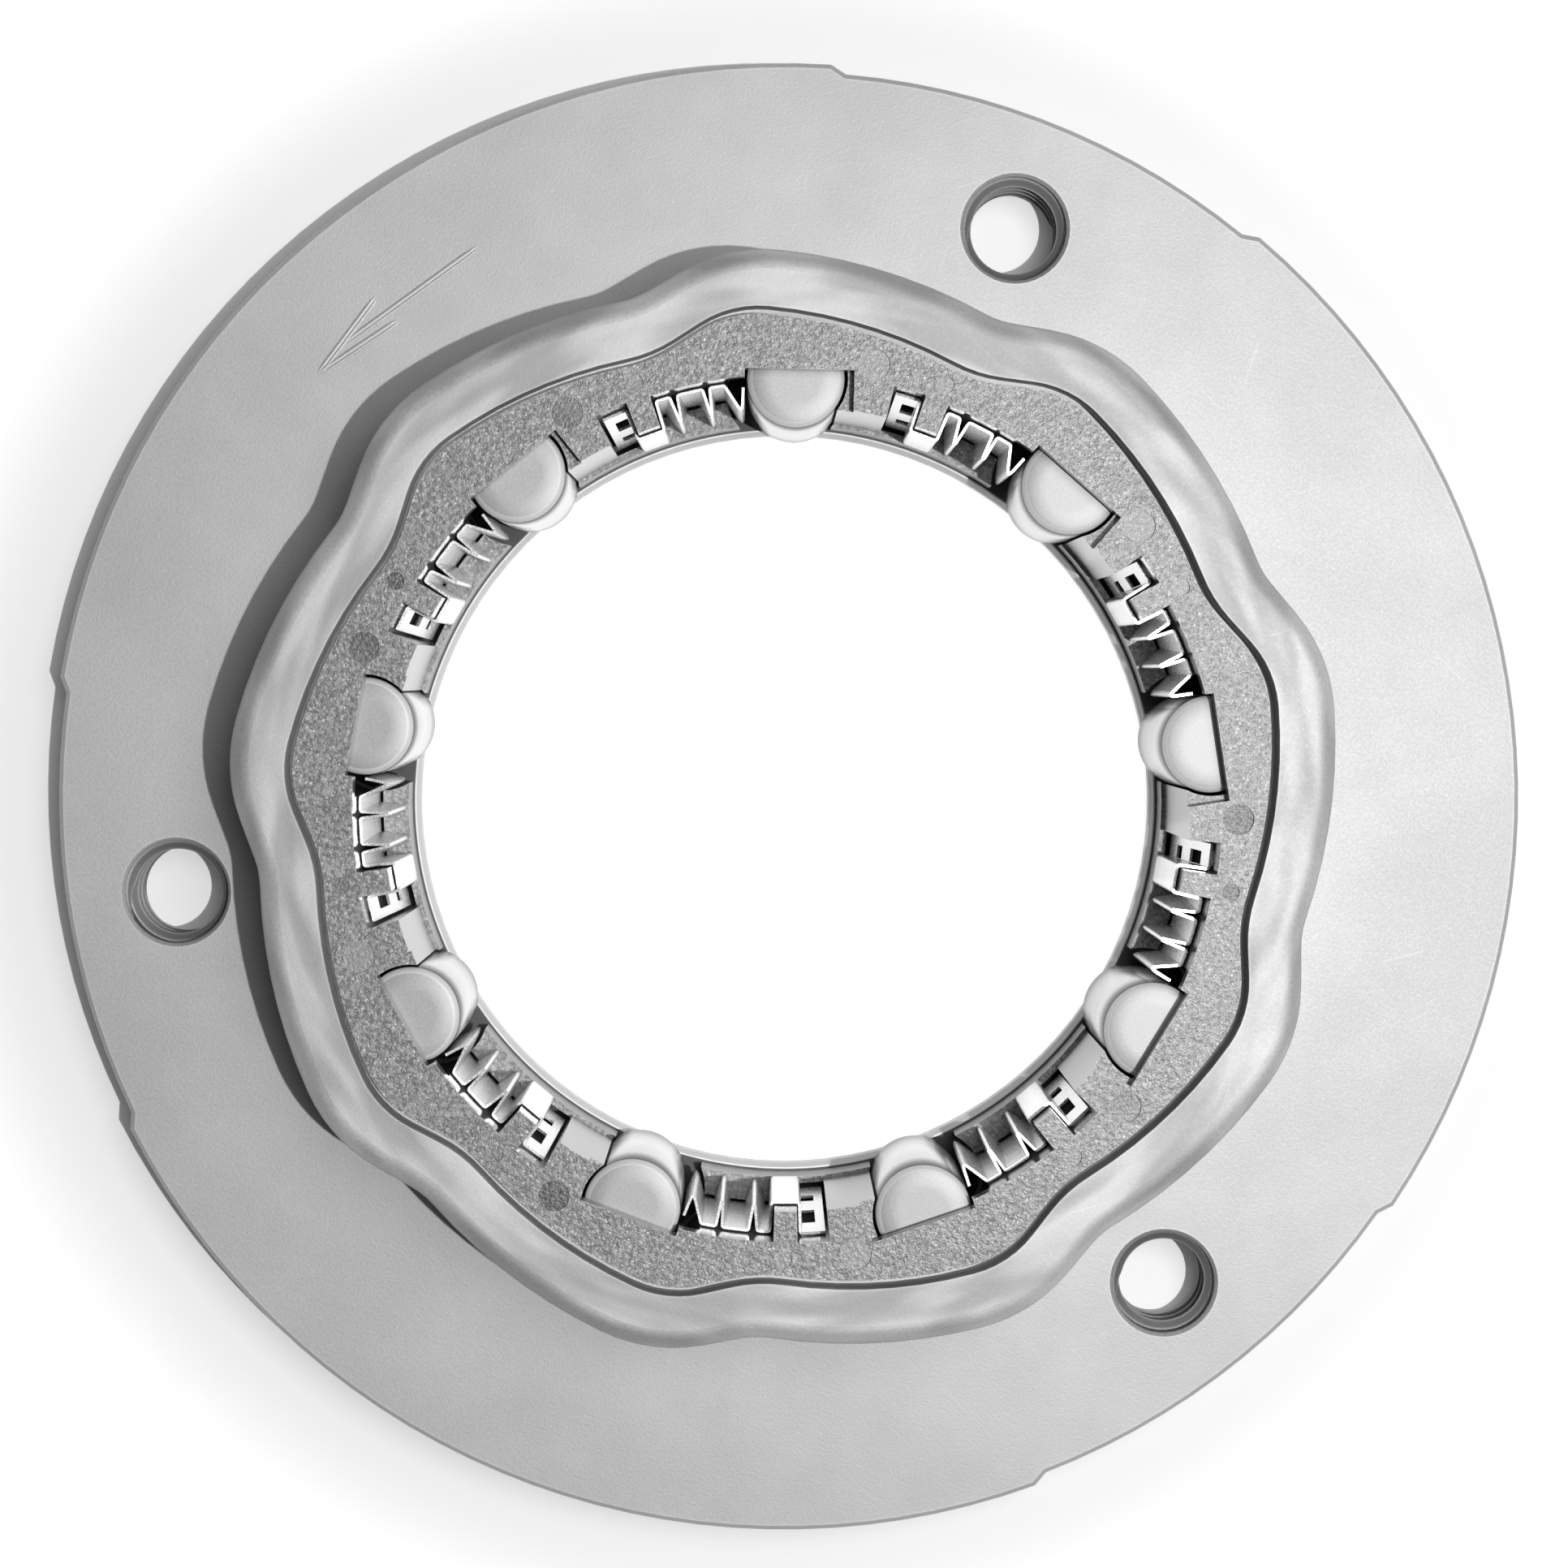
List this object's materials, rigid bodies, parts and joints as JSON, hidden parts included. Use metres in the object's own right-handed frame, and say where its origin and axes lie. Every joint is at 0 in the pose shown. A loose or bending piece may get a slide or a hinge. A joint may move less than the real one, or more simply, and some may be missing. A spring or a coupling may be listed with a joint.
{
  "type": "one-way roller clutch",
  "caption": "Flanged one-way roller clutch ring: lobed ramps, moulded cage, sprung rollers and tapped flange holes around an open hub bore.",
  "frame": {"origin": "on the clutch axis, in the plane of the flange's bolting face", "axes": "+Z along the clutch axis, from the bolting face towards the lobed rim; one tapped hole lies on +Y"},
  "size_m": [0.086, 0.0855, 0.014],
  "materials": {
    "ring_steel": "satin phosphated steel",
    "cage_plastic": "glass-filled, granular",
    "roller_steel": "ground",
    "spring_steel": "bright rolled strip"
  },
  "bodies": {
    "root": {"outer_ring": "ring_steel", "cage": "cage_plastic", "spring_1": "spring_steel", "spring_2": "spring_steel", "spring_3": "spring_steel", "spring_4": "spring_steel", "spring_5": "spring_steel", "spring_6": "spring_steel", "spring_7": "spring_steel", "spring_8": "spring_steel", "spring_9": "spring_steel"},
    "foot_1": {"spring_foot_1": "spring_steel"},
    "roller_1": {"roller_1": "roller_steel"},
    "foot_2": {"spring_foot_2": "spring_steel"},
    "roller_2": {"roller_2": "roller_steel"},
    "foot_3": {"spring_foot_3": "spring_steel"},
    "roller_3": {"roller_3": "roller_steel"},
    "foot_4": {"spring_foot_4": "spring_steel"},
    "roller_4": {"roller_4": "roller_steel"},
    "foot_5": {"spring_foot_5": "spring_steel"},
    "roller_5": {"roller_5": "roller_steel"},
    "foot_6": {"spring_foot_6": "spring_steel"},
    "roller_6": {"roller_6": "roller_steel"},
    "foot_7": {"spring_foot_7": "spring_steel"},
    "roller_7": {"roller_7": "roller_steel"},
    "foot_8": {"spring_foot_8": "spring_steel"},
    "roller_8": {"roller_8": "roller_steel"},
    "foot_9": {"spring_foot_9": "spring_steel"},
    "roller_9": {"roller_9": "roller_steel"}
  },
  "joints": [
    {"name": "roller_1_travel", "type": "slide", "parent": "root", "child": "foot_1", "axis": [0.5075, -0.8616, 0], "range_m": [-0.0011, 0], "stiffness_N_per_m": 600, "springref_m": 0.0015, "deforming": ["spring_1"]},
    {"name": "roller_1_spin", "type": "hinge", "parent": "foot_1", "child": "roller_1", "pos_m": [0.02068, 0.01218, 0.00665], "axis": [0, 0, 1], "continuous": true},
    {"name": "roller_2_travel", "type": "slide", "parent": "root", "child": "foot_2", "axis": [0.9426, -0.3338, 0], "range_m": [-0.0011, 0], "stiffness_N_per_m": 600, "springref_m": 0.0015, "deforming": ["spring_2"]},
    {"name": "roller_2_spin", "type": "hinge", "parent": "foot_2", "child": "roller_2", "pos_m": [0.00801, 0.02262, 0.00665], "axis": [0, 0, 1], "continuous": true},
    {"name": "roller_3_travel", "type": "slide", "parent": "root", "child": "foot_3", "axis": [0.9367, 0.3502, 0], "range_m": [-0.0011, 0], "stiffness_N_per_m": 600, "springref_m": 0.0015, "deforming": ["spring_3"]},
    {"name": "roller_3_spin", "type": "hinge", "parent": "foot_3", "child": "roller_3", "pos_m": [-0.0084, 0.02248, 0.00665], "axis": [0, 0, 1], "continuous": true},
    {"name": "roller_4_travel", "type": "slide", "parent": "root", "child": "foot_4", "axis": [0.4924, 0.8704, 0], "range_m": [-0.0011, 0], "stiffness_N_per_m": 600, "springref_m": 0.0015, "deforming": ["spring_4"]},
    {"name": "roller_4_spin", "type": "hinge", "parent": "foot_4", "child": "roller_4", "pos_m": [-0.02089, 0.01182, 0.00665], "axis": [0, 0, 1], "continuous": true},
    {"name": "roller_5_travel", "type": "slide", "parent": "root", "child": "foot_5", "axis": [-0.1822, 0.9833, 0], "range_m": [-0.0011, 0], "stiffness_N_per_m": 600, "springref_m": 0.0015, "deforming": ["spring_5"]},
    {"name": "roller_5_spin", "type": "hinge", "parent": "foot_5", "child": "roller_5", "pos_m": [-0.0236, -0.00437, 0.00665], "axis": [0, 0, 1], "continuous": true},
    {"name": "roller_6_travel", "type": "slide", "parent": "root", "child": "foot_6", "axis": [-0.7716, 0.6361, 0], "range_m": [-0.0011, 0], "stiffness_N_per_m": 600, "springref_m": 0.0015, "deforming": ["spring_6"]},
    {"name": "roller_6_spin", "type": "hinge", "parent": "foot_6", "child": "roller_6", "pos_m": [-0.01527, -0.01852, 0.00665], "axis": [0, 0, 1], "continuous": true},
    {"name": "roller_7_travel", "type": "slide", "parent": "root", "child": "foot_7", "axis": [-1, -0.0087, 0], "range_m": [-0.0011, 0], "stiffness_N_per_m": 600, "springref_m": 0.0015, "deforming": ["spring_7"]},
    {"name": "roller_7_spin", "type": "hinge", "parent": "foot_7", "child": "roller_7", "pos_m": [0.00021, -0.024, 0.00665], "axis": [0, 0, 1], "continuous": true},
    {"name": "roller_8_travel", "type": "slide", "parent": "root", "child": "foot_8", "axis": [-0.7604, -0.6494, 0], "range_m": [-0.0011, 0], "stiffness_N_per_m": 600, "springref_m": 0.0015, "deforming": ["spring_8"]},
    {"name": "roller_8_spin", "type": "hinge", "parent": "foot_8", "child": "roller_8", "pos_m": [0.01559, -0.01825, 0.00665], "axis": [0, 0, 1], "continuous": true},
    {"name": "roller_9_travel", "type": "slide", "parent": "root", "child": "foot_9", "axis": [-0.165, -0.9863, 0], "range_m": [-0.0011, 0], "stiffness_N_per_m": 600, "springref_m": 0.0015, "deforming": ["spring_9"]},
    {"name": "roller_9_spin", "type": "hinge", "parent": "foot_9", "child": "roller_9", "pos_m": [0.02367, -0.00396, 0.00665], "axis": [0, 0, 1], "continuous": true}
  ]
}
